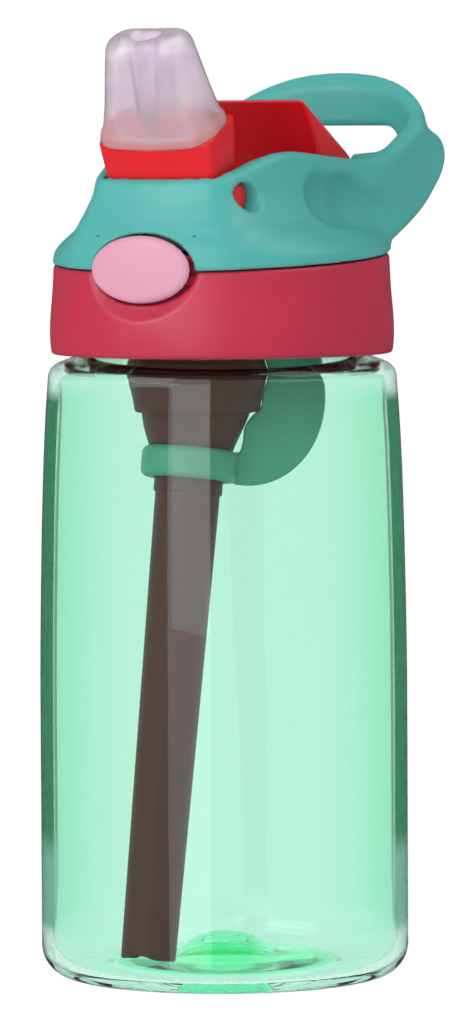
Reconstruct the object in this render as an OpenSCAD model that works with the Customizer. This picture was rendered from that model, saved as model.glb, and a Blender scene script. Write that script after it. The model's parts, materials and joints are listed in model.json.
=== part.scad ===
// Kids water bottle: clear body, screw lid with a carry loop, and a push-button folding spout.
// Millimetres. The origin is on the body's axis at the standing plane, +Z up.
// The front (button) faces -Y and the carry loop is at +Y.

/* [Body] */
// Outer radius of the straight lower body
body_r = 36.6; // [35.5:0.1:37.5]
// Height of the straight lower body
straight_top = 60; // [50:1:70]
// Outer radius where the shoulder starts
shoulder_r = 34.7; // [34.2:0.1:35.2]
// Height where the shoulder starts
shoulder_z = 120; // [119.5:0.1:120.5]
// Wall thickness of the body
wall = 2.4; // [2.4:0.1:3.2]
// Radius of the rounded lower corner
corner_r = 6.4; // [5:0.1:7]
// Outer radius of the neck
neck_r = 27; // [26.8:0.1:27.2]
// Height of the neck's rim
neck_top = 139.6; // [139.4:0.1:139.8]

/* [Thread] */
// Rise in one turn of the lid
pitch = 4; // [3:0.5:5]
// Turns of thread on the neck
neck_turns = 1.5; // [1:0.25:1.75]

/* [Collar] */
// Height of the collar's lower edge
collar_z = 124.2; // [124:0.1:124.6]
// Outer radius at the collar's lower edge
collar_low_r = 34; // [33.8:0.1:34.2]
// Outer radius at the collar's upper edge
collar_top_r = 33.2; // [33:0.1:33.4]
// Height of the seam between collar and cover, on the axis
seam_z = 143.1; // [142.9:0.1:143.3]
// Angle by which the seam rises to the rear
seam_tilt = 3.5; // [3:0.1:4]

/* [Spout] */
// Distance of the spout's pivot in front of the axis
pivot_y = -20.6; // [-21:0.1:-20.2]
// Height of the spout's pivot
pivot_z = 155.5; // [155.2:0.1:155.8]
// Forward lean of the open spout
lean = 17; // [15:1:18]
// Radius of the drum that seals on the valve seat
drum_r = 5.5; // [5.2:0.1:5.6]
// Radius of the trunnions
trunnion_r = 2.8; // [2.5:0.1:3]
// Radial clearance of the trunnions
trunnion_gap = 0.08; // [0.05:0.01:0.1]
// Half-width of the carrier
carrier_half = 12; // [11.5:0.1:12.2]
// Radius of the drinking channel
channel_r = 2.8; // [2.4:0.1:3]
// Height of the mouthpiece's top above the pivot, along the spout
spout_tip = 34; // [33:0.1:34.2]

/* [Button] */
// Width of the oval button
button_w = 22; // [20:0.5:22.5]
// Height of the oval button
button_h = 13.2; // [12:0.2:13.6]
// Height of the button's centre
button_z = 141.6; // [141.4:0.1:141.8]
// Travel of the button
button_travel = 1.5; // [1:0.1:1.5]

/* [Straw] */
// Outer radius of the straw
straw_r = 6.05; // [5.9:0.05:6.1]
// Wall of the straw
straw_wall = 1.1; // [0.9:0.1:1.2]

/* [Hidden] */
$fn = 96;
eps = 0.01;
far = 120;

// Body and base
neck_wall = 2.4;
base_ring_r = 30.2;
base_wall = 3;
punt_r = 9.5;
punt_rise = 5;
recess_r = 21.5;
recess_rise = 1.2;
shoulder_round = 3.4;

// Thread: ridges of trapezoid section, one behind the other with axial clearance
thread_depth = 1.2;
thread_half = 0.85;
thread_z = 128.5;
thread_clear = 0.3;
thread_sink = 0.5;
ring_steps = 48;

// Collar
skirt_wall = 2;
sleeve_in_r = 28.8;
sleeve_wall = 1.6;
web_z = 142.9;
web_t = 1.6;
web_in_r = 26;
web_out_r = 31.2;

// Deck, cup and valve turret
deck_t = web_z - neck_top - 1.3;
deck_z = web_z - deck_t;
deck_r = 28.6;
cup_y = -10.2;
cup_r = 13.3;
cup_neck_r = 11.6;
cup_step_z = 117.8;
cup_z = 113.6;
cup_wall = 1.6;
turret_y = -19.4;
turret_r = 6.8;
turret_z = 146.6;
seat_r = 5.6;
seat_gap = 0.3;
seat_top = 151;
port_r = 3;
vent_r = 2;
leaf_turn = 29;
leaf_stem = 19;
vent_x = leaf_stem * cos(leaf_turn);
vent_y = cup_y - 1 + leaf_stem * sin(leaf_turn);

// Straw: a straight tube from inside the adapter's sleeve to just above the floor
straw_top = [0, -11.2, 106];
straw_end = [-2, -26, 5.2];
sleeve_end = [-0.18, -12.56, 96.8];
sleeve_r = 6.8;

// Pocket for the folded spout, and the shield behind it
pocket_half = 12.9;
trunnion_half = 16.6;
pocket_front = -26.75;
shield_in_r = 35;
shield_half = 15;
ear_x = 21.2;
hollow_half = 18.6;
rear_half = 15.5;
crown_y = -4.6;

// Button face and the slide behind it
button_face_y = -34.4;
button_t = 2;
bezel = 0.45;
rail_x = 9.6;
rail_z = 147.2;

// ---------- helpers ----------

function arc(cx, cy, r, a0, a1, n) =
    [for (i = [0:n]) [cx + r * cos(a0 + (a1 - a0) * i / n), cy + r * sin(a0 + (a1 - a0) * i / n)]];

function unit(v) = v / norm(v);

// Closed tube of round section along a coil's points, around the coil's axis
module tube(path, r, axis, sides = 8) {
    n = len(path);
    dir = [for (i = [0:n - 1]) unit(path[min(i + 1, n - 1)] - path[max(i - 1, 0)])];
    side = [for (d = dir) unit(cross(d, axis))];
    rings = [for (i = [0:n - 1]) for (k = [0:sides - 1])
        path[i] + r * cos(360 * k / sides) * side[i] + r * sin(360 * k / sides) * cross(dir[i], side[i])];
    skin(rings, n, sides);
}

// Closed skin over n rings of m points each
module skin(pts, n, m) {
    sides = [for (i = [0:n - 2]) for (k = [0:m - 1])
        [i * m + k, (i + 1) * m + k, (i + 1) * m + (k + 1) % m, i * m + (k + 1) % m]];
    start = [[for (k = [0:m - 1]) k]];
    end = [[for (k = [m - 1:-1:0]) (n - 1) * m + k]];
    polyhedron(pts, concat(sides, start, end), convexity = 8);
}

// Helical ridge on a wall of radius r; depth is positive outward and negative inward
module thread(r, depth, turns, z0) {
    steps = round(turns * ring_steps);
    ramp = 8;
    root = r - sign(depth) * thread_sink;
    pts = [for (i = [0:steps]) let (
            a = 360 * i / ring_steps,
            z = z0 + pitch * i / ring_steps,
            crest = r + depth * min(1, (min(i, steps - i) + 1.5) / ramp),
            section = [[root, -thread_half], [crest, -thread_half / 2],
                [crest, thread_half / 2], [root, thread_half]])
        for (q = depth < 0 ? section : [for (k = [3:-1:0]) section[k]])
            [q[0] * cos(a), q[0] * sin(a), z + q[1]]];
    skin(pts, steps + 1, 4);
}

// Block with four round upright edges
module rounded_block(x, y, z, r) {
    for (s = [-1, 1])
        for (t = [-1, 1])
            translate([s * (x / 2 - r), t * (y / 2 - r), 0])
                cylinder(r = r, h = z, $fn = 32);
    translate([-x / 2, -y / 2 + r, 0])
        cube([x, y - 2 * r, z]);
    translate([-x / 2 + r, -y / 2, 0])
        cube([x - 2 * r, y, z]);
}

// Upright oval of the given width and height, extruded along +Y from y0
module oval(w, h, y0, depth) {
    translate([0, y0 + depth, button_z])
        rotate([90, 0, 0])
            linear_extrude(depth)
                polygon([for (a = [0:10:350]) [w / 2 * cos(a), h / 2 * sin(a)]]);
}

// Everything above the seam between collar and cover
module above_seam() {
    translate([0, 0, seam_z])
        rotate([seam_tilt, 0, 0])
            translate([-far / 2, -far / 2, 0])
                cube([far, far, far]);
}

module below_seam() {
    translate([0, 0, seam_z])
        rotate([seam_tilt, 0, 0])
            translate([-far / 2, -far / 2, -far])
                cube([far, far, far]);
}

// Places its children in the open spout's own frame: pivot at the origin, +Z along the spout
module at_spout() {
    translate([0, pivot_y, pivot_z])
        rotate([lean, 0, 0])
            children();
}

// Places its children on the line from p to q, with +Z towards q
module along(p, q) {
    d = q - p;
    translate(p)
        rotate([0, acos(d[2] / norm(d)), atan2(d[1], d[0])])
            children();
}

module cross_cylinder(r, half) {
    rotate([0, 90, 0])
        cylinder(r = r, h = 2 * half, center = true);
}

// Side outline extruded across the object, centred on its middle plane
module across(width, outline) {
    rotate([90, 0, 90])
        translate([0, 0, -width / 2])
            linear_extrude(width)
                polygon(outline);
}

// ---------- body ----------

module bottle_body() {
    neck_in = neck_r - neck_wall;
    outside = concat(
        [[0, punt_rise], [punt_r * 0.55, punt_rise * 0.8], [punt_r, recess_rise + 0.4],
            [recess_r, recess_rise], [recess_r + 2.6, 0], [base_ring_r, 0]],
        arc(body_r - corner_r, corner_r, corner_r, -80, 0, 8),
        [[body_r, straight_top], [body_r - 0.2, 72], [body_r - 0.6, 95], [body_r - 1.1, 108]],
        arc(shoulder_r - shoulder_round, shoulder_z, shoulder_round, 0, 70, 6),
        [[neck_r, shoulder_z + shoulder_round], [neck_r, neck_top - 0.5], [neck_r - 0.5, neck_top]]);
    inside = concat(
        [[neck_in + 0.4, neck_top], [neck_in, neck_top - 0.5], [neck_in, shoulder_z + 1.6]],
        arc(shoulder_r - shoulder_round - 0.6, shoulder_z - 1.8, shoulder_round - 0.8, 70, 0, 5),
        [[body_r - 1.1 - wall, 108], [body_r - 0.6 - wall, 95], [body_r - wall, straight_top]],
        arc(body_r - wall - 5, base_wall + 5, 5, 0, -85, 7),
        [[recess_r + 1, base_wall + 0.3], [recess_r - 1.6, base_wall + 1],
            [punt_r, base_wall + 1.4], [punt_r * 0.5, base_wall + punt_rise], [0, base_wall + punt_rise + 0.6]]);
    color("lightgreen", 0.5)
    union() {
        rotate_extrude()
            polygon(concat(outside, inside));
        thread(neck_r, thread_depth, neck_turns, thread_z);
    }
}

// ---------- lid ----------

module collar() {
    skirt = [[collar_low_r - skirt_wall, collar_z + 0.4], [collar_low_r - skirt_wall + 0.4, collar_z],
        [collar_low_r - 0.5, collar_z], [collar_low_r, collar_z + 0.6],
        [collar_top_r + 0.3, seam_z - 4], [collar_top_r, seam_z + 4],
        [web_out_r + 0.5, seam_z + 4]];
    sleeve = [[sleeve_in_r, collar_z + 1], [sleeve_in_r + sleeve_wall, collar_z + 1],
        [sleeve_in_r + sleeve_wall, web_z - 4.5], [collar_low_r - skirt_wall + 0.4, web_z - 4.5],
        [collar_low_r - skirt_wall + 0.4, web_z - 2.4], [sleeve_in_r + sleeve_wall, web_z - 2.4],
        [sleeve_in_r + sleeve_wall, web_z], [web_out_r, web_z], [web_out_r, web_z + web_t],
        [web_in_r, web_z + web_t], [web_in_r, web_z], [sleeve_in_r, web_z]];
    color([0.78, 0.19, 0.29])
    difference() {
        union() {
            difference() {
                rotate_extrude()
                    polygon(skirt);
                above_seam();
            }
            rotate_extrude()
                polygon(sleeve);
            thread(sleeve_in_r, -thread_depth, 1.25, thread_z - 2 * thread_half - thread_clear);
        }
        // through-opening and shallow thumb recess for the button
        oval(button_w + 2 * bezel, button_h + 2 * bezel, button_face_y - 5, 8.9);
        translate([0, 0, -1.3])
            oval(button_w + 5, button_h + 3.6, button_face_y - 8, 9.6);
        // way through for the button's stem
        translate([-4.2, -34, 138.8])
            cube([8.4, 10.5, 8.2]);
    }
}

module inner_lid() {
    cup_out = [[0, cup_z], [cup_neck_r, cup_z], [cup_neck_r, cup_step_z], [cup_r, cup_step_z + 0.8],
        [cup_r, deck_z + eps], [0, deck_z + eps]];
    cup_in = [[0, cup_z - 1], [cup_neck_r - cup_wall, cup_z - 1], [cup_neck_r - cup_wall, cup_step_z + 1],
        [cup_r - cup_wall, cup_step_z + 2], [cup_r - cup_wall, deck_z - 2 * eps], [0, deck_z - 2 * eps]];
    color([0.86, 0.13, 0.16])
    difference() {
        union() {
            translate([0, 0, deck_z])
                cylinder(r = deck_r, h = deck_t);
            translate([0, cup_y, 0])
                rotate_extrude()
                    polygon(cup_out);
            translate([0, turret_y, deck_z])
                cylinder(r = turret_r, h = turret_z - deck_z);
            // post that backs the button's spring
            translate([-3.2, -26.95, deck_z])
                cube([6.4, 1.6, turret_z - deck_z - 0.4]);
        }
        translate([0, cup_y, 0])
            rotate_extrude()
                polygon(cup_in);
        // way from the cup up to the valve seat
        translate([0, turret_y, deck_z - 1])
            cylinder(r = port_r, h = turret_z);
        translate([0, turret_y, turret_z - 2])
            cylinder(r = seat_r, h = 10);
        // air vent
        translate([vent_x, vent_y, deck_z - 5])
            cylinder(r = vent_r, h = 12);
        // notch in the deck's rim for the button's spring
        translate([-2.6, -30, deck_z - 1])
            cube([5.2, 3.05, deck_t + 2]);
    }
}

module neck_seal() {
    color("white")
    translate([0, 0, neck_top])
        difference() {
            cylinder(r = neck_r - 0.1, h = deck_z - neck_top);
            translate([0, 0, -1])
                cylinder(r = neck_r - neck_wall + 0.2, h = 4);
        }
}

module valve_seat() {
    color([0.9, 0.88, 0.9])
    difference() {
        translate([0, turret_y, turret_z - 2])
            cylinder(r = seat_r, h = seat_top - turret_z + 2);
        translate([0, turret_y, 140])
            cylinder(r = port_r, h = 20);
        translate([0, pivot_y, pivot_z])
            cross_cylinder(drum_r + seat_gap, 20);
        // the rear half stays under the folded spout
        translate([-10, pivot_y, pivot_z - drum_r - 2 * seat_gap])
            cube([20, 20, 10]);
    }
}

module straw_adapter() {
    cone = [[cup_neck_r - cup_wall - 4, cup_z + 4], [cup_neck_r - cup_wall, cup_z + 4],
        [cup_neck_r - cup_wall, cup_z], [cup_neck_r, cup_z], [cup_neck_r - 0.2, cup_z - 1.4],
        [sleeve_r + 0.6, cup_z - 9], [sleeve_r - 0.6, cup_z - 9]];
    color([0.8, 0.2, 0.25])
    difference() {
        union() {
            translate([0, cup_y - 0.6, 0])
                difference() {
                    translate([0, 0.6, 0])
                        rotate_extrude()
                            polygon(concat([[0, cup_z + 4]], [for (i = [1:6]) cone[i]], [[0, cup_z - 9]]));
                    translate([0, 0.6, cup_z - 4])
                        cylinder(r = cup_neck_r - cup_wall - 1.6, h = 12);
                }
            along(straw_top, sleeve_end)
                cylinder(r = sleeve_r, h = norm(sleeve_end - straw_top));
        }
        along(straw_top, straw_end)
            cylinder(r = straw_r, h = 200);
        along(straw_top, sleeve_end)
            translate([0, 0, -8])
                cylinder(r = straw_r - straw_wall, h = 30);
    }
}

module straw() {
    color([0.75, 0.15, 0.2])
    difference() {
        along(straw_top, straw_end)
            difference() {
                cylinder(r = straw_r, h = norm(straw_end - straw_top));
                translate([0, 0, -1])
                    cylinder(r = straw_r - straw_wall, h = 200);
            }
        // arched notch that lets water in when the straw's end meets the floor
        translate([0, straw_end[1], straw_end[2] - 5.5])
            rotate([90, 0, 0])
                cylinder(r = 7, h = 40, center = true);
        translate([-20, -50, -20])
            cube([40, 50, 20 + straw_end[2] - 0.6]);
    }
}

module vent_strap() {
    ring_h = 4.6;
    leaf_t = 1.5;
    // outline of the leaf: u runs sideways from the ring, v is the height
    leaf = concat([[9, 99.6]], arc(3.5, 119.5, 22, -62, 0, 8),
        [[25.5, 127], [leaf_stem + 3, deck_z - 0.8], [leaf_stem - 3, deck_z - 0.8], [14.6, 127], [12, 116]]);
    color([0.34, 0.69, 0.68])
    difference() {
        union() {
            along(straw_top, straw_end)
                translate([0, 0, 2.8])
                    rotate_extrude()
                        polygon([[sleeve_r, 0], [8.6, 0], [9.6, 1], [9.6, ring_h - 1], [8.6, ring_h],
                            [sleeve_r, ring_h]]);
            translate([0, cup_y - 1, 0])
                rotate([90, 0, leaf_turn])
                    translate([0, 0, -leaf_t / 2])
                        linear_extrude(leaf_t)
                            polygon(leaf);
            // plug of the air vent, under and through the deck
            translate([vent_x, vent_y, deck_z - 1.6])
                cylinder(r = 4.2, h = 1.6);
            translate([vent_x, vent_y, deck_z - 1])
                cylinder(r = vent_r - 0.02, h = deck_t + 1.6);
        }
        translate([0, cup_y, cup_z])
            cylinder(r = cup_r + 0.15, h = 40);
        translate([0, cup_y, cup_z - 9.5])
            cylinder(r1 = sleeve_r + 1, r2 = cup_neck_r + 0.3, h = 9.6);
        along(straw_top, straw_end)
            cylinder(r = sleeve_r, h = 30);
    }
}

// ---------- cover with the carry loop ----------

// A low dome on the axis, and a narrower crown that stands forward of it
module dome(grow, top) {
    rotate_extrude()
        polygon([[0, 140], [33.5 + grow, 140], [33.3 + grow, 144.6], [32.6 + grow, 146.4],
            [31.2 + grow, 147.9], [29.6 + grow, 149.2], [0, 151]]);
    translate([0, crown_y, 0])
        rotate_extrude()
            polygon([[0, 144], [28 + grow, 147], [27.5 + grow, 149.2], [26.1 + grow, 151], [25 + grow, 153],
                [24 + grow, 155.5], [23.1 + grow, 158.5], [22.7 + grow, 161], [22.6 + grow, top], [0, top]]);
}

module lid_shell() {
    rim = [[-60, 159.2], [-27, 159.2], [-21, 160.8], [-17.5, 162.4], [-9, 163.9], [0, 163.8],
        [13, 162.7], [40, 163], [40, 190], [-60, 190]];
    floor_line = [[27.8, 161], [33, 158], [44, 153.8]];
    hollow = concat([[27.8, 190]], floor_line, [[44, 168.6], [45, 172], [45.4, 190]]);
    rear_gap = [[43, 154.2], [70, 150.8], [70, 168.6], [43, 168.6]];
    color([0.34, 0.69, 0.68])
    difference() {
        union() {
            difference() {
                dome(0, 166);
                across(far, rim);
            }
            // flared rear, from the seam up to the pillars of the loop
            hull() {
                translate([0, 0, 144.4])
                    cylinder(r = 32.8, h = 1, $fn = 32);
                translate([0, 48, 160])
                    sphere(r = 6.4, $fn = 32);
                for (s = [-1, 1]) {
                    translate([s * 17.5, 44.5, 162])
                        sphere(r = 6.5, $fn = 32);
                    translate([s * 19.5, 8, 160.4])
                        sphere(r = 3.2, $fn = 32);
                }
            }
            for (s = [-1, 1]) {
                // arm, ear and pillar on each side
                hull() {
                    translate([s * ear_x, 12, 160.3])
                        sphere(r = 2.6, $fn = 32);
                    translate([s * ear_x, 33, 165.2])
                        sphere(r = 2.8, $fn = 32);
                    translate([s * 18.4, 45.2, 172])
                        sphere(r = 2.9, $fn = 32);
                    translate([s * 17.8, 45, 162])
                        sphere(r = 6.3, $fn = 32);
                }
                // half of the cross-bar
                hull() {
                    translate([s * 18.2, 45.4, 170.6])
                        sphere(r = 2.8, $fn = 32);
                    translate([s * 16, 46.4, 173.6])
                        sphere(r = 2.8, $fn = 32);
                    translate([0, 47.6, 171.6])
                        sphere(r = 2.9, $fn = 32);
                    translate([0, 47.6, 177])
                        sphere(r = 2.9, $fn = 32);
                }
            }
        }
        below_seam();
        // thin-walled inside
        difference() {
            union() {
                difference() {
                    dome(-2.2, 161);
                    across(far, [for (p = rim) [p[0], p[1] - 2.2]]);
                }
                hull() {
                    translate([0, 0, 140])
                        cylinder(r = 30.6, h = 6, $fn = 32);
                    translate([0, 36, 150.4])
                        sphere(r = 2.4, $fn = 32);
                    for (s = [-1, 1])
                        translate([s * 15, 33, 150.8])
                            sphere(r = 2.6, $fn = 32);
                }
            }
            // walls of the pocket, down to the collar's web
            translate([-pocket_half - 2, pocket_front - 1, web_z + web_t])
                cube([2 * pocket_half + 4, 56, 40]);
        }
        // pocket for the spout
        translate([-pocket_half, pocket_front, 130])
            cube([2 * pocket_half, 41, 60]);
        translate([-shield_half, 8, 147.6])
            cube([2 * shield_half, 19.5, 60]);
        translate([-pocket_half, 8, 130])
            cube([2 * pocket_half, 15, 30]);
        // finger hollow of the carry loop
        across(2 * hollow_half, hollow);
        across(2 * rear_half, rear_gap);
        // finger scoops under the arms
        for (s = [-1, 1])
            translate([s * 34, 12, 158.5])
                sphere(r = 12.6);
        // pivot holes
        translate([0, pivot_y, pivot_z])
            cross_cylinder(trunnion_r + trunnion_gap, 40);
        // notch for the button, its slide and the spring's post
        oval(button_w + 2 * bezel, button_h + 2 * bezel, button_face_y - 5, 8.9);
        translate([-13, -30.7, 139])
            cube([26, 8.2, 9.9]);
        // the collar's web snaps into this step
        translate([0, 0, 130])
            cylinder(r = web_out_r + 0.05, h = web_z + web_t - 130 + 0.05);
    }
}

module rear_shield() {
    tube_wall = 2;
    outer = [[8, 175], [9.6, 175.2], [27.4, 163], [27.4, 148], [8, 148]];
    inner = [[8, 173], [9.2, 172.8], [25.4, 161.9], [25.4, 147], [8, 147]];
    color([0.9, 0.08, 0.1])
    difference() {
        across(2 * shield_half - 0.1, outer);
        // concave face that the folding mouthpiece sweeps past
        translate([0, pivot_y, pivot_z])
            cross_cylinder(shield_in_r, 40);
        // moulded hollow behind the face
        difference() {
            across(2 * (shield_half - tube_wall), inner);
            translate([0, pivot_y, pivot_z])
                cross_cylinder(shield_in_r + tube_wall, 40);
        }
    }
}

// ---------- spout ----------

module spout_carrier() {
    recess_x = 7.6;
    color([0.86, 0.13, 0.16])
    at_spout()
        difference() {
            union() {
                cross_cylinder(drum_r, carrier_half + 0.4);
                cross_cylinder(trunnion_r, trunnion_half);
                difference() {
                    translate([0, 1.1, 0])
                        rounded_block(2 * carrier_half, 11.2, 20, 2.4);
                    translate([-20, -20, 0])
                        cube([40, 15.4, 4]);
                    // tilted top that the mouthpiece sits on
                    translate([-20, -4.6, 11.2])
                        rotate([12.5, 0, 0])
                            translate([0, -10, 0])
                                cube([40, 40, 20]);
                    // rear face leans out from the drum
                    translate([-20, drum_r, 0])
                        rotate([-5, 0, 0])
                            translate([0, 0, -5])
                                cube([40, 10, 40]);
                }
                // nipple that the mouthpiece is stretched over
                translate([0, 0.8, 9])
                    rounded_block(18, 7.6, 8.6, 3.7);
                // latch foot
                translate([-11, drum_r - 1, 4.4])
                    cube([3, 2.4, 1.6]);
                translate([8, drum_r - 1, 4.4])
                    cube([3, 2.4, 1.6]);
            }
            translate([0, 0, -20])
                cylinder(r = channel_r, h = 60, $fn = 48);
            // pocket for the torsion spring's coil
            translate([-carrier_half - 1, 0, 0])
                rotate([0, 90, 0])
                    difference() {
                        cylinder(r = 4.9, h = 1 + carrier_half - recess_x);
                        translate([0, 0, -1])
                            cylinder(r = trunnion_r, h = 20);
                    }
        }
}

module mouthpiece() {
    tilt = 12.5;
    color([0.85, 0.78, 0.87], 0.8)
    at_spout()
        difference() {
            union() {
                hull() {
                    translate([0, 1.1, 11.2])
                        rounded_block(24.8, 11.6, 1, 3.6, $fn = 32);
                    translate([0, 1.1, 15])
                        rounded_block(24.2, 11.2, 1.4, 4.4, $fn = 32);
                }
                hull() {
                    translate([0, 1.1, 15])
                        rounded_block(23.6, 10.8, 1.4, 4.4, $fn = 32);
                    translate([0, 0.8, spout_tip - 3])
                        rounded_block(18, 9.8, 1, 4.6, $fn = 32);
                    translate([0, 0.8, spout_tip - 0.6])
                        rounded_block(14.6, 7, 0.6, 3.4, $fn = 32);
                }
            }
            translate([-20, -4.6, 11.2])
                rotate([tilt, 0, 0])
                    translate([0, -10, -20])
                        cube([40, 40, 20]);
            translate([0, 0.8, 9])
                rounded_block(18, 7.6, 8.6, 3.7);
            cylinder(r = channel_r, h = 60, $fn = 48);
        }
}

module carrier_spring() {
    turns = 3;
    steps = 16;
    coil_r = 3.9;
    wire_r = 0.4;
    rise = 0.9;
    x0 = -carrier_half + 0.7;
    coil = [for (i = [0:turns * steps]) let (a = 100 + 360 * i / steps)
        [x0 + rise * i / steps, pivot_y + coil_r * cos(a), pivot_z + coil_r * sin(a)]];
    color("silver")
    tube(coil, wire_r, [1, 0, 0]);
}

// ---------- button ----------

module button() {
    color([0.88, 0.63, 0.71])
    union() {
        intersection() {
            oval(button_w, button_h, button_face_y - 1, button_t + 1);
            translate([0, button_face_y + 62, button_z])
                sphere(r = 62, $fn = 360);
        }
        // stem that snaps into the slide
        translate([-3.4, button_face_y + button_t - eps, 144.6])
            cube([6.8, 2, 2.4]);
    }
}

module latch_slide() {
    front = button_face_y + button_t + 2;
    bar_z = 144.6;
    tip_y = -11.6;
    color([0.2, 0.2, 0.22])
    union() {
        // cross-bar behind the button
        translate([-rail_x - 1.4, front, rail_z - 2])
            cube([2 * rail_x + 2.8, 1.6, 3]);
        translate([-3.4, front - eps, bar_z])
            cube([6.8, 1.6, 2.4]);
        for (s = [-1, 1]) {
            // rail past the valve turret, and its barb
            translate([s * rail_x - 1.2, front + 1, rail_z - 0.8])
                cube([2.4, tip_y - front - 1, 1.4]);
            translate([s * rail_x - 1.2, tip_y - 1.2, rail_z - 0.8])
                cube([2.4, 1.2, 1.8]);
        }
    }
}

module button_spring() {
    turns = 4;
    steps = 12;
    coil_r = 1.9;
    wire_r = 0.25;
    start = -32.1;
    length = 4.85;
    coil = [for (i = [0:turns * steps]) let (a = 360 * i / steps)
        [coil_r * cos(a), start + length * i / (turns * steps), 141.2 + coil_r * sin(a)]];
    color("silver")
    tube(coil, wire_r, [0, 1, 0], 6);
}

bottle_body();
collar();
lid_shell();
rear_shield();
inner_lid();
neck_seal();
valve_seat();
straw_adapter();
vent_strap();
straw();
spout_carrier();
mouthpiece();
carrier_spring();
button();
latch_slide();
button_spring();
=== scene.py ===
"""Looks of the kids water bottle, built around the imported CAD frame.

Fields and outlines are written in millimetres, in the frame's own axes, and become metres in the mesh.
The button is at -Y, the carry loop at +Y.
"""

import json
import math

import bpy
import numpy as np
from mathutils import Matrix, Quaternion, Vector


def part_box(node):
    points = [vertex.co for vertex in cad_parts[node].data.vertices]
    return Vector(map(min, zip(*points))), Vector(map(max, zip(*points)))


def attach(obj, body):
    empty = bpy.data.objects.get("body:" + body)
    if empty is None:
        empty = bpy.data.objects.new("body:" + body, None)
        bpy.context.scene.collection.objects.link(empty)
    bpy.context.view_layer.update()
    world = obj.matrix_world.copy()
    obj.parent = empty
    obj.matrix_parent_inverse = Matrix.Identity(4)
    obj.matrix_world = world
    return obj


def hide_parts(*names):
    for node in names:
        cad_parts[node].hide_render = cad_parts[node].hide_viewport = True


MM = 0.001  # one millimetre, in metres
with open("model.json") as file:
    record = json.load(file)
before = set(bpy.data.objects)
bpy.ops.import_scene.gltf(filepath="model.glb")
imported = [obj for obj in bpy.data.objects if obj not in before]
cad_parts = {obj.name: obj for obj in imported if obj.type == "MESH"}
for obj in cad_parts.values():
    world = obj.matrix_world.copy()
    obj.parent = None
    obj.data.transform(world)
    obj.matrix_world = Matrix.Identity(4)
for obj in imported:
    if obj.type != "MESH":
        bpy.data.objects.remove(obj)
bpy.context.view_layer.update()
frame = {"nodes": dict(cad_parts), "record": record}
JOINTS = {joint["name"]: joint for joint in frame["record"]["behaviour"]["joints"]}


def box_mm(node):
    """Lowest and highest corner of a CAD node, in millimetres."""
    low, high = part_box(node)
    return np.array(low) / MM, np.array(high) / MM


# ---------- driving dimensions, from the frame ----------

PIVOT_Y, PIVOT_Z = (value / MM for value in JOINTS["spout_fold"]["pos_m"][1:])
BODY_R = box_mm("bottle_body")[1][0]
BUTTON_LOW, BUTTON_HIGH = box_mm("button")
BUTTON_FRONT = BUTTON_LOW[1]
BUTTON_Z = (BUTTON_LOW[2] + BUTTON_HIGH[2]) / 2
SHIELD_HALF, SHIELD_REAR = box_mm("rear_shield")[1][:2]

# ---------- other sizes that several pieces share, in millimetres ----------

SPOUT_LEAN = math.radians(17)                    # the open spout leans forward
SHIELD_R = 35.0                                  # the shield's hollow front, round the spout's pivot
SEAM_Z, SEAM_SLOPE = 143.1, math.tan(math.radians(3.5))
SEAM_GAP = 0.3                                   # between cover and collar
BUTTON_OVAL, NOTCH_OVAL = (22.0, 13.2), (22.7, 13.9)
POCKET_HALF, POCKET_FRONT = 12.9, -26.35
CHANNEL_R = 2.8                                  # the drink's way through the spout
CUP_Y = -10.2                                    # axis of the straw's cup
STRAW_TOP, STRAW_END = np.array([-0.8, -11.2, 106.0]), np.array([-2.9, -26.0, 5.2])
STRAW_R, STRAW_END_R, STRAW_WALL = 6.5, 5.35, 1.1
SLEEVE_R = 6.8


# ---------- fields: negative inside, in millimetres ----------

def smin(a, b, k):
    """Smooth union."""
    h = np.clip(0.5 + 0.5 * (b - a) / k, 0, 1)
    return b * (1 - h) + a * h - k * h * (1 - h)


def smax(a, b, k):
    """Smooth intersection."""
    return -smin(-a, -b, k)


def round_cone(x, y, z, p, q, rp, rq):
    """Rod from p to q whose radius runs from rp to rq, with round ends."""
    d = np.subtract(q, p)
    t = ((x - p[0]) * d[0] + (y - p[1]) * d[1] + (z - p[2]) * d[2]) / np.dot(d, d)
    t = np.clip(t, 0, 1)
    gap = np.sqrt((x - p[0] - t * d[0]) ** 2 + (y - p[1] - t * d[1]) ** 2 + (z - p[2] - t * d[2]) ** 2)
    return gap - (rp + t * (rq - rp))


def rounded_box(u, v, w, half, r):
    """Box round the origin with half sizes and edge radius."""
    a, b, c = np.abs(u) - half[0] + r, np.abs(v) - half[1] + r, np.abs(w) - half[2] + r
    outside = np.sqrt(np.maximum(a, 0) ** 2 + np.maximum(b, 0) ** 2 + np.maximum(c, 0) ** 2)
    return outside + np.minimum(np.maximum(np.maximum(a, b), c), 0) - r


def rounded_rect(u, v, half_u, half_v, r):
    """Plane outline: a rectangle with corner radius r. Sizes may vary from point to point."""
    a, b = np.abs(u) - half_u + r, np.abs(v) - half_v + r
    return np.hypot(np.maximum(a, 0), np.maximum(b, 0)) + np.minimum(np.maximum(a, b), 0) - r


def curve(t, points):
    """Smooth curve through (t, value) points, flat beyond its ends."""
    ts, vs = np.array(points, float).T
    slope = np.gradient(vs, ts)
    t = np.clip(t, ts[0], ts[-1])
    i = np.clip(np.searchsorted(ts, t) - 1, 0, len(ts) - 2)
    h = ts[i + 1] - ts[i]
    s = (t - ts[i]) / h
    return ((1 + 2 * s) * (1 - s) ** 2 * vs[i] + s * (1 - s) ** 2 * h * slope[i]
            + s * s * (3 - 2 * s) * vs[i + 1] + s * s * (s - 1) * h * slope[i + 1])


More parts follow.
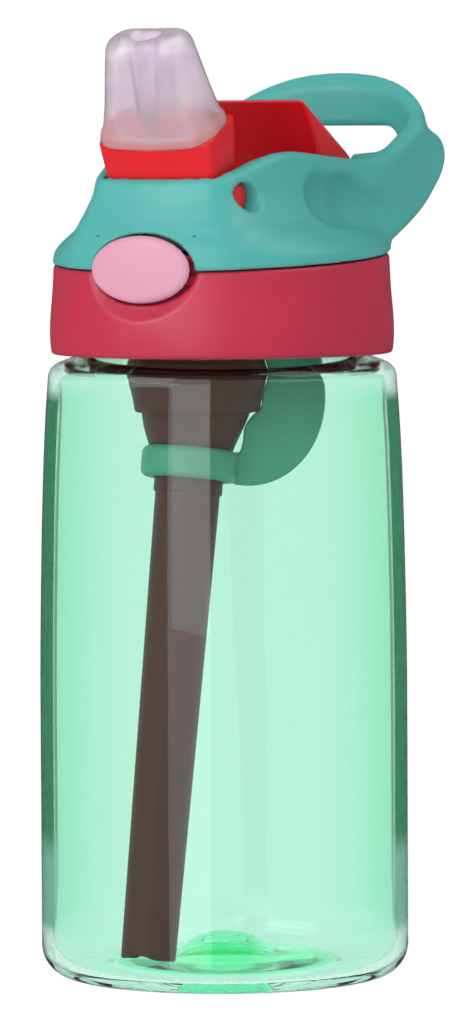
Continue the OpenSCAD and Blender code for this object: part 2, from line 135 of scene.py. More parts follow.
def oval(x, z, width, height):
    """Upright oval round the button's centre."""
    a, b = width / 2, height / 2
    k = np.sqrt((x / a) ** 2 + ((z - BUTTON_Z) / b) ** 2)
    g = np.sqrt((x / a ** 2) ** 2 + ((z - BUTTON_Z) / b ** 2) ** 2) + 1e-6
    return k * (k - 1) / g


def spout_axes(y, z):
    """Coordinates across and along the open spout, from its pivot."""
    dy, dz = y - PIVOT_Y, z - PIVOT_Z
    across = dy * math.cos(SPOUT_LEAN) + dz * math.sin(SPOUT_LEAN)
    along = dz * math.cos(SPOUT_LEAN) - dy * math.sin(SPOUT_LEAN)
    return across, along


def line_axes(x, y, z, p, q):
    """Distance from the line p to q, and the length along it from p."""
    d = (q - p) / np.linalg.norm(q - p)
    along = (x - p[0]) * d[0] + (y - p[1]) * d[1] + (z - p[2]) * d[2]
    gap = np.sqrt((x - p[0] - along * d[0]) ** 2 + (y - p[1] - along * d[1]) ** 2
                  + (z - p[2] - along * d[2]) ** 2)
    return gap, along


# ---------- meshes ----------

def make_object(name, points, faces, body, replaces=()):
    """Mesh object from points in millimetres, riding on a body."""
    mesh = bpy.data.meshes.new(name)
    mesh.from_pydata((np.asarray(points) * MM).tolist(), [], faces)
    mesh.validate()
    mesh.polygons.foreach_set("use_smooth", [True] * len(mesh.polygons))
    obj = bpy.data.objects.new(name, mesh)
    bpy.context.scene.collection.objects.link(obj)
    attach(obj, body)
    if replaces:
        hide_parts(*replaces)
    return obj


def surface_net(field, low, high, step):
    """Quads on the zero surface of a field, with their points pulled onto it."""
    axes = [np.arange(a - step, b + 2 * step, step) for a, b in zip(low, high)]
    grid = np.meshgrid(*axes, indexing="ij", sparse=True)
    value = field(*grid)
    inside = value < 0
    cells = tuple(n - 1 for n in value.shape)
    total, weight = np.zeros(cells + (3,)), np.zeros(cells)
    corners = [(i, j, k) for i in (0, 1) for j in (0, 1) for k in (0, 1)]

    def corner(array, c):
        return array[c[0]:c[0] + cells[0], c[1]:c[1] + cells[1], c[2]:c[2] + cells[2]]

    for axis in range(3):
        for c in corners:
            if c[axis]:
                continue
            other = tuple(v + (i == axis) for i, v in enumerate(c))
            a, b = corner(value, c), corner(value, other)
            crossed = corner(inside, c) != corner(inside, other)
            t = np.where(crossed, a / np.where(crossed, a - b, 1), 0)
            place = np.stack([np.broadcast_to(float(v), cells) for v in c], -1).copy()
            place[..., axis] += t
            total += place * crossed[..., None]
            weight += crossed
    used = weight > 0
    index = np.full(cells, -1)
    index[used] = np.arange(used.sum())
    where = np.argwhere(used)
    points = (where + total[used] / weight[used][:, None]) * step + np.array([a[0] for a in axes])
    faces = []
    for axis in range(3):
        u, v = (axis + 1) % 3, (axis + 2) % 3
        first = [slice(None)] * 3
        second = [slice(None)] * 3
        first[axis], second[axis] = slice(0, -1), slice(1, None)
        change = inside[tuple(first)] != inside[tuple(second)]
        at = np.argwhere(change)
        at = at[(at[:, u] > 0) & (at[:, v] > 0) & (at[:, u] < cells[u]) & (at[:, v] < cells[v])]
        ring = []
        for du, dv in ((1, 1), (0, 1), (0, 0), (1, 0)):
            cell = at.copy()
            cell[:, u] -= du
            cell[:, v] -= dv
            ring.append(index[cell[:, 0], cell[:, 1], cell[:, 2]])
        quad = np.stack(ring, 1)
        outward = inside[at[:, 0], at[:, 1], at[:, 2]]
        quad[~outward] = quad[~outward][:, ::-1]
        faces.append(quad)
    return pull(field, points, step), np.concatenate(faces).tolist()


def pull(field, points, step):
    """Newton steps that bring points onto the field's zero surface."""
    p, e = points.copy(), 0.02
    for _ in range(4):
        x, y, z = p.T
        value = field(x, y, z)
        slope = np.stack([
            field(x + e, y, z) - field(x - e, y, z),
            field(x, y + e, z) - field(x, y - e, z),
            field(x, y, z + e) - field(x, y, z - e)], 1) / (2 * e)
        move = slope * (value / np.maximum((slope ** 2).sum(1), 0.05))[:, None]
        size = np.linalg.norm(move, axis=1, keepdims=True)
        p -= move * np.minimum(1, 0.4 * step / np.maximum(size, 1e-9))
    return p


def lathe_piece(name, profile, body, replaces=(), turns=192, centre=(0, 0), shape=None):
    """Closed profile of (radius, height) turned round an upright axis. Points at radius 0 close the ends."""
    profile = np.asarray(profile, float)
    angle = np.linspace(0, 2 * math.pi, turns, endpoint=False)
    rows, rings = [], []
    for r, z in profile:
        if r < 1e-6:
            rows.append(np.array([[centre[0], centre[1], z]]))
        else:
            radius = r + (shape(angle, r, z) if shape else 0)
            rows.append(np.stack([centre[0] + radius * np.cos(angle),
                                  centre[1] + radius * np.sin(angle), np.full(turns, z)], 1))
    start = np.cumsum([0] + [len(row) for row in rows])
    closed = profile[0][0] > 1e-6
    faces = []
    pairs = [(i, (i + 1) % len(rows)) for i in range(len(rows) if closed else len(rows) - 1)]
    for a, b in pairs:
        for k in range(turns):
            n = (k + 1) % turns
            pa = [start[a]] if len(rows[a]) == 1 else [start[a] + k, start[a] + n]
            pb = [start[b]] if len(rows[b]) == 1 else [start[b] + n, start[b] + k]
            faces.append([int(i) for i in pa + pb])
    return make_object(name, np.concatenate(rows), faces, body, replaces)


def arc(cx, cz, r, a0, a1, n):
    """Points of an arc, angles in degrees."""
    return [(cx + r * math.cos(math.radians(a)), cz + r * math.sin(math.radians(a)))
            for a in np.linspace(a0, a1, n)]


# ---------- materials ----------

def new_material(name):
    """New material, with its nodes, its links and its main shader."""
    material = bpy.data.materials.new(name)
    material.use_nodes = True
    nodes = material.node_tree.nodes
    return material, nodes, material.node_tree.links, nodes["Principled BSDF"]


def noise(nodes, links, scale, detail=2.0):
    """Noise in object space; its scale is in waves per metre."""
    place = nodes.new("ShaderNodeTexCoord")
    texture = nodes.new("ShaderNodeTexNoise")
    texture.inputs["Scale"].default_value = scale
    texture.inputs["Detail"].default_value = detail
    links.new(place.outputs["Object"], texture.inputs["Vector"])
    return texture.outputs["Fac"]


def ramp(nodes, links, source, low, high, positions=(0.3, 0.7)):
    """Colour ramp between two colours."""
    node = nodes.new("ShaderNodeValToRGB")
    node.color_ramp.elements[0].position, node.color_ramp.elements[1].position = positions
    node.color_ramp.elements[0].color = (*low, 1)
    node.color_ramp.elements[1].color = (*high, 1)
    links.new(source, node.inputs["Fac"])
    return node.outputs["Color"]


def spread(nodes, links, source, low, high):
    """Maps noise to a range of numbers."""
    node = nodes.new("ShaderNodeMapRange")
    node.inputs["From Min"].default_value = 0.3
    node.inputs["From Max"].default_value = 0.7
    node.inputs["To Min"].default_value = low
    node.inputs["To Max"].default_value = high
    links.new(source, node.inputs["Value"])
    return node.outputs["Result"]


def fade(nodes, links, source, start, end):
    """Runs smoothly from 0 at start to 1 at end."""
    node = nodes.new("ShaderNodeMapRange")
    node.interpolation_type = "SMOOTHSTEP"
    node.inputs["From Min"].default_value = start
    node.inputs["From Max"].default_value = end
    links.new(source, node.inputs["Value"])
    return node.outputs["Result"]


def bump(nodes, links, source, strength, distance):
    """Surface normal disturbed by a height, over a distance in metres."""
    node = nodes.new("ShaderNodeBump")
    node.inputs["Strength"].default_value = strength
    node.inputs["Distance"].default_value = distance
    links.new(source, node.inputs["Height"])
    return node.outputs["Normal"]


def linear(rgb):
    """Colour from 0 to 255 in sRGB to linear."""
    return tuple((c / 255 / 12.92 if c <= 10 else ((c / 255 + 0.055) / 1.055) ** 2.4) for c in rgb)


def plastic(name, rgb, rough, grain=2600, depth=0.00002, soft=0.12, coat=0.0, shine=0.5):
    """Moulded plastic: slight mottling, an orange-peel undulation and a fine spark-eroded grain."""
    material, nodes, links, shader = new_material(name)
    colour = np.array(linear(rgb))
    mottle = noise(nodes, links, 60)
    links.new(ramp(nodes, links, mottle, tuple(colour * 0.955), tuple(np.minimum(colour * 1.04, 1))),
              shader.inputs["Base Color"])
    links.new(spread(nodes, links, noise(nodes, links, 140, 4), rough - 0.05, rough + 0.05),
              shader.inputs["Roughness"])
    links.new(bump(nodes, links, noise(nodes, links, grain), 0.35, depth), shader.inputs["Normal"])
    shader.inputs["IOR"].default_value = 1.5
    shader.inputs["Specular IOR Level"].default_value = shine
    shader.inputs["Subsurface Weight"].default_value = soft
    shader.inputs["Subsurface Radius"].default_value = (1.0, 0.8, 0.6)
    shader.inputs["Subsurface Scale"].default_value = 0.0012
    shader.inputs["Coat Weight"].default_value = coat
    shader.inputs["Coat Roughness"].default_value = 0.2
    return material


def product(nodes, links, first, second):
    """Multiplies two numbers."""
    node = nodes.new("ShaderNodeMath")
    node.operation = "MULTIPLY"
    links.new(first, node.inputs[0])
    links.new(second, node.inputs[1])
    return node.outputs[0]


def mixed(nodes, links, share, below, above):
    """Mixes two colours, each of them a tuple or a socket."""
    node = nodes.new("ShaderNodeMix")
    node.data_type = "RGBA"
    links.new(share, node.inputs["Factor"])
    colour_a, colour_b, colour_out = node.inputs[6], node.inputs[7], node.outputs[2]
    for socket, colour in ((colour_a, below), (colour_b, above)):
        if isinstance(colour, tuple):
            socket.default_value = (*colour, 1)
        else:
            links.new(colour, socket)
    return colour_out


def scaled(nodes, links, source, at_0, at_1):
    """Runs from at_0 to at_1 as the source runs from 0 to 1."""
    node = nodes.new("ShaderNodeMapRange")
    node.inputs["To Min"].default_value = at_0
    node.inputs["To Max"].default_value = at_1
    links.new(source, node.inputs["Value"])
    return node.outputs["Result"]


def place_on_body(nodes, links):
    """Distance from the body's axis and height of the point being shaded, in metres."""
    place = nodes.new("ShaderNodeTexCoord")
    split = nodes.new("ShaderNodeSeparateXYZ")
    links.new(place.outputs["Object"], split.inputs["Vector"])
    flat = nodes.new("ShaderNodeCombineXYZ")
    links.new(split.outputs["X"], flat.inputs["X"])
    links.new(split.outputs["Y"], flat.inputs["Y"])
    reach = nodes.new("ShaderNodeVectorMath")
    reach.operation = "LENGTH"
    links.new(flat.outputs[0], reach.inputs[0])
    return reach.outputs["Value"], split.outputs["Z"]


def edge_of_wall(nodes, links, facing, from_axis, upright):
    """1 where the side wall is seen edge-on. The inner surface, inside 34.4 mm, has to be more so."""
    outside = fade(nodes, links, from_axis, 0.0344, 0.0347)
    nearness = nodes.new("ShaderNodeMath")
    nearness.operation = "SUBTRACT"
    links.new(facing, nearness.inputs[0])
    links.new(scaled(nodes, links, outside, 0.17, 0.0), nearness.inputs[1])
    return product(nodes, links, fade(nodes, links, nearness.outputs[0], 0.622, 0.642), upright)


def tint_and_edge_shade(nodes, links):
    """Colour that each surface of the body adds, with painted shade where its wall is seen edge-on, and the
    mask of those edge-on places.
    """
    weight = nodes.new("ShaderNodeLayerWeight")
    weight.inputs["Blend"].default_value = 0.5
    facing = weight.outputs["Facing"]
    from_axis, height = place_on_body(nodes, links)
    upright = product(nodes, links, fade(nodes, links, height, 0.008, 0.012),
                      fade(nodes, links, height, 0.119, 0.115))
    slanted = product(nodes, links, fade(nodes, links, facing, 0.1, 0.6), upright)
    wall = mixed(nodes, links, slanted, (0.70, 0.945, 0.84), (0.56, 0.91, 0.75))
    middle = product(nodes, links, fade(nodes, links, from_axis, 0.0218, 0.0208),
                     fade(nodes, links, height, 0.0105, 0.0095))
    colour = mixed(nodes, links, middle, wall, (0.14, 0.98, 0.44))
    edge = edge_of_wall(nodes, links, facing, from_axis, upright)
    # Painted shade: the edge-on bands turn dark green, darker still above 3 cm, in place of the dark
    # reflections a clear wall shows there.
    deep = mixed(nodes, links, fade(nodes, links, height, 0.024, 0.030), (0.06, 0.22, 0.14),
                 (0.003, 0.06, 0.02))
    return mixed(nodes, links, edge, colour, deep), edge


def clear_green():
    """Tinted clear plastic, with painted shade along its edge-on walls. Its low index keeps what is behind it
    straight, and a coat gives it its gloss.
    """
    material, nodes, links, shader = new_material("clear_green")
    tint, edge = tint_and_edge_shade(nodes, links)
    links.new(tint, shader.inputs["Base Color"])
    shader.inputs["Roughness"].default_value = 0.0
    shader.inputs["IOR"].default_value = 1.09
    shader.inputs["Transmission Weight"].default_value = 1.0
    links.new(scaled(nodes, links, edge, 0.7, 0.25), shader.inputs["Coat Weight"])
    shader.inputs["Coat IOR"].default_value = 1.5
    shader.inputs["Coat Roughness"].default_value = 0.0
    wave = bump(nodes, links, noise(nodes, links, 45, 1), 0.25, 0.0003)
    links.new(wave, shader.inputs["Normal"])
    links.new(wave, shader.inputs["Coat Normal"])
    dye = nodes.new("ShaderNodeVolumeAbsorption")
    dye.inputs["Color"].default_value = (0.05, 0.87, 0.56, 1)
    dye.inputs["Density"].default_value = 6
    links.new(dye.outputs["Volume"], nodes["Material Output"].inputs["Volume"])
    return material


def clear_silicone():
    """Milky translucent silicone."""
    material, nodes, links, shader = new_material("clear_silicone")
    cloud = noise(nodes, links, 110)
    links.new(ramp(nodes, links, cloud, linear((240, 224, 240)), linear((252, 242, 250))),
              shader.inputs["Base Color"])
    shader.inputs["Roughness"].default_value = 0.2
    shader.inputs["IOR"].default_value = 1.3
    shader.inputs["Transmission Weight"].default_value = 0.64
    shader.inputs["Subsurface Weight"].default_value = 1.0
    shader.inputs["Subsurface Radius"].default_value = (1.0, 0.8, 0.9)
    shader.inputs["Subsurface Scale"].default_value = 0.006
    links.new(bump(nodes, links, noise(nodes, links, 1800), 0.2, 0.00002), shader.inputs["Normal"])
    return material


def steel():
    """Drawn spring wire."""
    material, nodes, links, shader = new_material("spring_steel")
    shader.inputs["Metallic"].default_value = 1.0
    draw = noise(nodes, links, 900)
    links.new(ramp(nodes, links, draw, (0.42, 0.42, 0.44), (0.62, 0.62, 0.64)), shader.inputs["Base Color"])
    links.new(spread(nodes, links, draw, 0.22, 0.4), shader.inputs["Roughness"])
    return material


def paint(obj, material):
    """Gives an object one material in place of any that it has."""
    obj.data.materials.clear()
    obj.data.materials.append(material)


# ---------- lid shell ----------

# Curves of the cover. RIM: height of the top against y. SIDE: half width against y. The rest run against
# height: FLARE widens the sides, FRONT is the front's y, BASE_R the round base, and REAR_ the rear end.

RIM = [(-36, 158.7), (-28, 159.0), (-24.5, 159.7), (-22, 160.4), (-15.8, 162.6), (-11.4, 164.0), (-6, 164.6),
       (-0.7, 164.3), (9.3, 163.3), (16.8, 162.8), (21.8, 163.2), (27.2, 164.4), (32.7, 166.7), (38, 169.4),
       (42, 172.0), (46, 175.3), (50, 179.2), (52, 181.2), (56, 185.2)]
SIDE = [(-36, 10.9), (-27, 13.7), (-24.9, 14.6), (-20.6, 16.5), (-15.8, 18.3), (-9, 20.6), (0, 22.4),
        (9, 23.4), (17, 24.2), (24, 25.6), (30, 28), (36, 31)]
FLARE = [(143, 4.0), (146, 5.0), (149, 4.6), (151, 3.5), (153, 2.3), (155.5, 1.1), (159, 0.0), (161, -0.6),
         (164, -1.0), (170, -1.0)]
FRONT = [(143, -30), (146, -31.4), (149, -31.2), (151, -30.3), (153, -29.5), (155.5, -28.6), (158.5, -28.0),
         (162, -27.8)]
BASE_R = [(140, 33.5), (143, 33.5), (144.8, 33.0), (146.5, 31.6), (148, 29.6), (149.5, 26.8), (151, 23),
          (154, 16)]
REAR_HALF = [(143, 25.5), (147, 26.4), (150, 26.2), (153, 25.5), (156, 25.2), (170, 25.1)]
REAR_END = [(143, 30), (147, 35.5), (150, 40.4), (153, 44.8), (156, 48.4), (159, 51.4), (162, 53.1),
            (165, 53.7), (166.8, 53.4), (168.6, 52.4), (170, 52.1), (182, 52.0)]
REAR_DEPTH = [(143, 18), (150, 12), (153, 9), (156, 8), (164.5, 8), (166.5, 10), (168.6, 14.4), (170, 15)]
REAR_POWER = [(143, 2.2), (150, 2.6), (153, 3.0), (156, 3.3), (164.5, 3.2), (166.5, 2.8), (168.6, 2.3),
              (170, 2.2)]


def superellipse(x, y, half_x, half_y, power):
    """Distance from a curve that is straight-sided below y 0 and rounds to its end above it."""
    a, b = np.abs(x) / half_x + 1e-6, np.maximum(y, 0) / half_y + 1e-6
    size = (a ** power + b ** power) ** (1 / power)
    slope = np.hypot(a ** (power - 1) / half_x, b ** (power - 1) / half_y) * size ** (1 - power)
    return (size - 1) / slope


def cover_outline(x, y, z):
    """Outside of the cover's walls without its top: a narrow front that widens into the rear."""
    flare = curve(z, FLARE) * (1 - 0.75 * np.clip((y - 4) / 24, 0, 1))
    lean = np.interp(y, [-26, -18, 0], [0.9, 0.94, 1.0])
    side = (np.abs(x) - curve(y, SIDE) - flare) * lean
    front = np.hypot(x, y - curve(z, FRONT) - 45) - 45
    depth = curve(z, REAR_DEPTH)
    half = curve(z, REAR_HALF) + 0.2 * np.clip(24 - y, 0, 60)
    rear = superellipse(x, y - curve(z, REAR_END) + depth, half, depth, curve(z, REAR_POWER))
    walls = smax(smax(side, front, 3.0), rear, 1.2)
    base = np.hypot(x, y) - curve(z, BASE_R)
    return smin(walls, base, 4.5)


def loop_hole(x, y, z):
    """Finger hole of the carry loop, with a floor that slopes down to the rear gap under the cross-bar."""
    inner = superellipse(x, y - 37, 21.1, 11.2, 2.4)
    inner = smax(inner, 27.7 - y, 2.0)
    floor_z = curve(y, [(26, 160.5), (32, 158.2), (40, 155.6), (48, 153.4), (60, 150.5)])
    inner = smax(inner, floor_z - z, 3.5)
    gap = rounded_box(x, y - 54, z - 160.2, (15.8, 16, 8.8), 4.2)
    gap = smax(gap, floor_z - z, 3.0)
    return smin(inner, gap, 1.4)


def spout_pocket(x, y, z):
    """Slot that the spout folds into, wider where the shield stands."""
    bow = np.interp(z, [148, 152, 155.5, 158.5], [0.014, 0.006, 0.004, 0.0095])
    narrow = smax(np.abs(x) - POCKET_HALF, POCKET_FRONT + bow * x ** 2 - y, 1.6)
    narrow = np.maximum(narrow, y - 20)
    wide = np.maximum(np.abs(x) - SHIELD_HALF - 0.12, np.maximum(7.6 - y, y - SHIELD_REAR - 0.12))
    wide = np.maximum(wide, 147.6 - z)
    return smin(narrow, wide, 0.4)


def scoop(x, y, z):
    """Finger scoop in each side, with a steep front end, fading towards the rear pillar."""
    side = np.abs(x)
    deep = round_cone(side, y, z, (27.4, -1.4, 156.2), (28.4, 8, 155.2), 7.0, 6.7)
    tail = round_cone(side, y, z, (28.4, 8, 155.2), (32.0, 25, 151.8), 6.7, 6.4)
    dimple = round_cone(side, y, z, (26.6, 20.8, 151.7), (26.7, 20.9, 151.7), 1.7, 1.7)
    return np.minimum(smin(deep, tail, 2.5), dimple)


def cover_body(x, y, z):
    """The cover as a solid, before it is hollowed from below."""
    heights, slope = curve(y, RIM), curve(y + 0.5, RIM) - curve(y - 0.5, RIM)
    inward = np.clip(curve(y, SIDE) - np.abs(x) - 2, 0, 12) * np.interp(y, [-25, -20, 24, 28], [0, 1, 1, 0])
    top = (z - heights + 0.3 * inward) / np.sqrt(1 + slope ** 2)
    rounding = np.interp(y, [-24, -12, 0, 30, 46], [1.5, 2.4, 3.0, 2.8, 2.4])
    solid = smax(cover_outline(x, y, z), top, rounding)
    solid = smax(solid, -loop_hole(x, y, z), np.interp(y, [30, 44], [1.6, 1.1]))
    solid = smax(solid, -scoop(x, y, z), 0.9)
    return smax(solid, -spout_pocket(x, y, z), 0.7)


def lid_shell_field(x, y, z):
    """The cover: hollow below, with pivot holes, a notch for the button and a step for the collar."""
    solid = cover_body(x, y, z)
    inside = np.maximum(solid + 2.3, np.maximum(z - 151.6, y - 34))
    inside = np.maximum(inside, np.hypot(x, y) - 31.2)
    shell = np.maximum(solid, -inside)
    step = np.maximum(np.hypot(x, y) - 31.25, z - 144.55)
    shell = np.maximum(shell, -step)
    hole = np.maximum(np.hypot(y - PIVOT_Y, z - PIVOT_Z) - 2.9, 10 - np.abs(x))
    shell = smax(shell, -hole, 0.5)
    notch = np.maximum(oval(x, z, *NOTCH_OVAL), y + 25.5)
    shell = smax(shell, -notch, 0.5)
    slot = rounded_box(x, y + 26.6, z - 144.4, (8.6, 4.1, 4.4), 0.3)
    shell = np.maximum(shell, -np.maximum(slot, solid + 2.0))
    seam = SEAM_Z + 0.6 * SEAM_GAP + SEAM_SLOPE * y - z
    return smax(shell, seam, 0.5)


# ---------- collar ----------

def collar_field(x, y, z):
    """The collar: skirt with a thumb recess, threaded sleeve inside, and the web between them."""
    r = np.hypot(x, y)
    outer_r = curve(z, [(124, 33.9), (124.6, 34.0), (139, 33.6), (147, 33.2)])
    reach = (x / 12.9) ** 2 + ((z - 142.2) / 10.9) ** 2
    thumb = np.where(y < 0, 1.45 * np.clip(2.2 * (1 - reach), 0, 1), 0)
    top = z - (SEAM_Z - 0.4 * SEAM_GAP + SEAM_SLOPE * y)
    skirt = smax(r - outer_r, smax(top, 124.2 - z, 0.1), 0.9)
    skirt = smax(skirt, r - outer_r + thumb, 0.3)
    skirt = np.maximum(skirt, 31.9 - r)
    sleeve = np.maximum(np.abs(r - 29.6) - 0.8, np.maximum(z - 142.9, 125.2 - z))
    rib = np.maximum(np.abs(r - 31.2) - 1.2, np.abs(z - 139.5) - 1.05)
    web = np.maximum(np.abs(r - 28.6) - 2.6, np.abs(z - 143.7) - 0.8)
    solid = np.minimum(np.minimum(skirt, sleeve), np.minimum(rib, web))
    hole = np.maximum(oval(x, z, *NOTCH_OVAL), y + 30.5)
    solid = smax(solid, -hole, 0.4)
    way = rounded_box(x, y + 28.75, z - 143, (4.2, 5.25, 4), 0.2)
    return np.maximum(solid, -way)


# ---------- spout ----------

def seat_height(x, v):
    """Height of the slanted seat between carrier and mouthpiece, along the spout."""
    return 11.3 + (v + 4.6) * math.tan(math.radians(12.5)) + 0.004 * x ** 2


def carrier_field(x, y, z):
    """Red base of the spout: drum and trunnions, block with a slanted seat, and nipple."""
    v, w = spout_axes(y, z)
    drum_r = 5.5 - 0.8 * np.clip((np.abs(x) - 9.5) / 3, 0, 1)
    drum = np.maximum(np.hypot(v, w) - drum_r, np.abs(x) - 12.35)
    trunnion = smax(np.hypot(v, w) - 2.8, np.abs(x) - 15.6, 0.5)
    half = curve(w, [(0, 11.9), (5, 12.2), (12, 12.65), (18, 12.7)])
    front = curve(w, [(0, -4.0), (5, -4.5), (12, -5.0)]) + 0.0105 * x ** 2
    rear = curve(w, [(0, 5.1), (5, 6.6), (14, 8.1)])
    block = smax(np.abs(x) - half, smax(front - v, v - rear, 1.2), 1.5)
    block = smax(block, smax(w - seat_height(x, v), -w, 0.2), 0.6)
    block = np.maximum(block, np.where(v < -3.6, 2.6 - w, block))
    nipple = rounded_rect(x, v - 0.8, 9.0, 3.8, 3.7)
    nipple = smax(nipple, w - 17.6, 1.8)
    nipple = np.maximum(nipple, 8 - w)
    solid = np.minimum(smin(drum, trunnion, 0.3), smin(block, nipple, 0.6))
    feet = rounded_box(np.abs(x) - 9.5, v - 5.7, w - 5.2, (1.5, 1.2, 0.8), 0.2)
    solid = np.minimum(solid, feet)
    return smax(solid, CHANNEL_R - np.hypot(x, v), 0.3)


def mouthpiece_field(x, y, z):
    """Silicone mouthpiece: a hollow round a middle tube, over the carrier's nipple."""
    v, w = spout_axes(y, z)
    seat = seat_height(x, v)
    half = curve(w, [(10, 12.75), (12.5, 12.6), (15, 12.1), (20, 11.0), (27, 9.75), (31, 9.0), (34, 8.6)])
    front = curve(w, [(10, -5.1), (13, -5.0), (16, -4.6), (24, -4.3), (34, -4.0)]) + 0.004 * x ** 2
    rear = curve(w, [(10, 8.4), (14, 8.1), (18, 7.4), (26, 6.4), (34, 5.7)])
    middle, depth = (front + rear) / 2, (rear - front) / 2
    outline = rounded_rect(x, v - middle, half, depth, np.minimum(depth - 0.3, 4.4))
    solid = smax(outline, w - 33.0 - 0.11 * v, 3.0)
    solid = smax(solid, seat + 0.05 - w, 0.35)
    flange = np.abs(w - seat - 1.0) - 1.0
    solid = smin(solid, smax(outline - 0.35, flange, 0.5), 0.5)
    nipple = smax(rounded_rect(x, v - 0.8, 9.05, 3.85, 3.75), w - 17.65, 1.8)
    tube = np.hypot(x, v - 0.9)
    hollow = smax(smax(outline + 1.5, w - 29.2, 1.2), 16.5 - w, 0.6)
    hollow = smax(hollow, 4.1 - tube, 0.8)
    mouth = np.hypot(tube, (w - 34.0) * 0.9) - 3.1
    solid = smax(solid, -nipple, 0.2)
    solid = smax(solid, -hollow, 0.4)
    solid = smax(solid, 2.6 - tube, 0.4)
    return smax(solid, -mouth, 0.6)


def shield_field(x, y, z):
    """Red wedge behind the folded spout, hollow in front."""
    slope_y, slope_z = 27.4 - 8.4, 163.0 - 175.0
    length = math.hypot(slope_y, slope_z)
    above = ((z - 175) * slope_y - (y - 8.4) * slope_z) / length
    half = SHIELD_HALF - 0.02 - 0.10 * np.clip(z - 164, 0, 11)
    front = SHIELD_R - np.hypot(y - PIVOT_Y, z - PIVOT_Z)
    outer = smax(smax(np.abs(x) - half, above, 1.4), smax(y - 27.35, z - 174.9, 0.6), 0.8)
    outer = np.maximum(outer, 148.05 - z)
    outer = smax(outer, front, 0.6)
    inside = np.maximum(np.abs(x) - half + 2, np.maximum(above + 2, front + 2))
    inside = np.maximum(inside, y - 25.4)
    return np.maximum(outer, -inside)


# ---------- button ----------

def button_field(x, y, z):
    """Oval button with a domed face and a stem behind."""
    across = oval(x, z, *BUTTON_OVAL)
    dome = np.sqrt(x ** 2 + (y - BUTTON_FRONT - 62) ** 2 + (z - BUTTON_Z) ** 2) - 62
    cap = smax(smax(across, dome, 1.5), y - (BUTTON_FRONT + 2.0), 0.2)
    stem = rounded_box(x, y - (BUTTON_FRONT + 2.9), z - 145.8, (3.4, 1.05, 1.2), 0.15)
    return np.minimum(cap, stem)


# ---------- straw and its holders ----------

def straw_field(x, y, z):
    """Leaning straw that narrows downwards and ends in a notch."""
    gap, along = line_axes(x, y, z, STRAW_TOP, STRAW_END)
    length = np.linalg.norm(STRAW_END - STRAW_TOP)
    radius = STRAW_R + (STRAW_END_R - STRAW_R) * np.clip(along / length, 0, 1)
    wall = np.abs(gap - (radius - STRAW_WALL / 2)) - STRAW_WALL / 2
    wall = smax(wall, smax(along - length + 0.3, -along, 0.1), 0.4)
    arch = np.hypot(x - STRAW_END[0], z - STRAW_END[2] + 3.4) - 5.3
    wall = smax(wall, -arch, 0.3)
    return np.maximum(wall, STRAW_END[2] - 0.5 - z)


def adapter_field(x, y, z):
    """Cone that plugs into the cup, and the sleeve that holds the straw."""
    lean = curve(z, [(104, 1.4), (111, 0.6), (113.4, 0.2)])
    r = np.hypot(x + lean, y - CUP_Y)
    cone_r = curve(z, [(104, 7.8), (105.5, 8.3), (111.3, 10.35), (112.2, 10.6), (113.4, 10.7)])
    cone = smax(r - cone_r, smax(z - 113.55, 104.6 - z, 0.1), 0.5)
    plug = np.maximum(r - 9.95, np.maximum(z - 117.5, 112 - z))
    gap, along = line_axes(x, y, z, STRAW_TOP, STRAW_END)
    sleeve = smax(gap - SLEEVE_R, np.maximum(along - 9.3, -1 - along), 0.5)
    solid = smin(np.minimum(cone, plug), sleeve, 1.2)
    bore = gap - STRAW_R + STRAW_WALL
    hollow = np.maximum(r - 8.3, 109.6 - z)
    return np.maximum(solid, -smin(bore, hollow, 0.3))


def strap_field(x, y, z):
    """Silicone ring round the sleeve, with a leaf that ends in the air vent's plug."""
    gap, along = line_axes(x, y, z, STRAW_TOP, STRAW_END)
    ring = rounded_rect(gap - 8.0, along - 3.4, 1.65, 3.1, 1.5)
    turn = math.radians(29)
    u = x * math.cos(turn) + (y - CUP_Y + 1) * math.sin(turn)
    v = -x * math.sin(turn) + (y - CUP_Y + 1) * math.cos(turn)
    sheet = np.abs(v - 0.03 * (u - 8) ** 2 * np.clip((z - 104) / 30, 0, 1)) - 0.8
    disc = 15.5 * (np.hypot((u - 10.6) / 15.2, (z - 115.8) / 17.5) - 1)
    inner_edge = curve(z, [(97, 4.6), (101.7, 7.2), (106.5, 9.3), (110.2, 9.6), (113, 9.6)])
    edge = smax(disc, inner_edge - u, 0.6)
    neck = rounded_box(u - 19, v * 0, z - 130, (3.6, 1, 10.6), 2.4)
    outline = smin(smax(edge, z - 127, 4.0), neck, 3.0)
    leaf = smax(outline, sheet, 0.7)
    cup_r = curve(z, [(104, 7.6), (112.3, 11.1), (113.3, 12.2), (116.2, 12.9), (118.5, 13.5),
                      (121.5, 13.95)])
    cup = np.hypot(x, y - CUP_Y) - cup_r
    leaf = smax(leaf, -cup, 0.3)
    vent_x = 19 * math.cos(turn)
    vent_y = CUP_Y - 1 + 19 * math.sin(turn)
    stem_gap = np.hypot(x - vent_x, y - vent_y)
    plug = np.minimum(np.maximum(stem_gap - 4.2, np.abs(z - 140.05) - 0.8),
                      np.maximum(stem_gap - 1.95, np.abs(z - 141.8) - 1.7))
    solid = np.minimum(smin(ring, leaf, 1.2), plug)
    return np.maximum(solid, -(gap - SLEEVE_R))


def cup_profile():
    """The straw's cup under the deck, turned round the cup's own axis."""
    outside = [(12.9, 116.2), (13.4, 118.3), (13.8, 121.5), (13.9, 126), (13.9, 140.85)]
    inside = [(11.7, 140.85), (11.7, 120), (10, 118.6), (10, 115.2), (0, 115.2)]
    return [(0, 112.9), (11.5, 112.9)] + arc(11.9, 113.4, 0.5, -90, 0, 4) + outside + inside


# ---------- clear body ----------

THREAD_LAPS, THREAD_HEIGHT = 1.5, 1.2


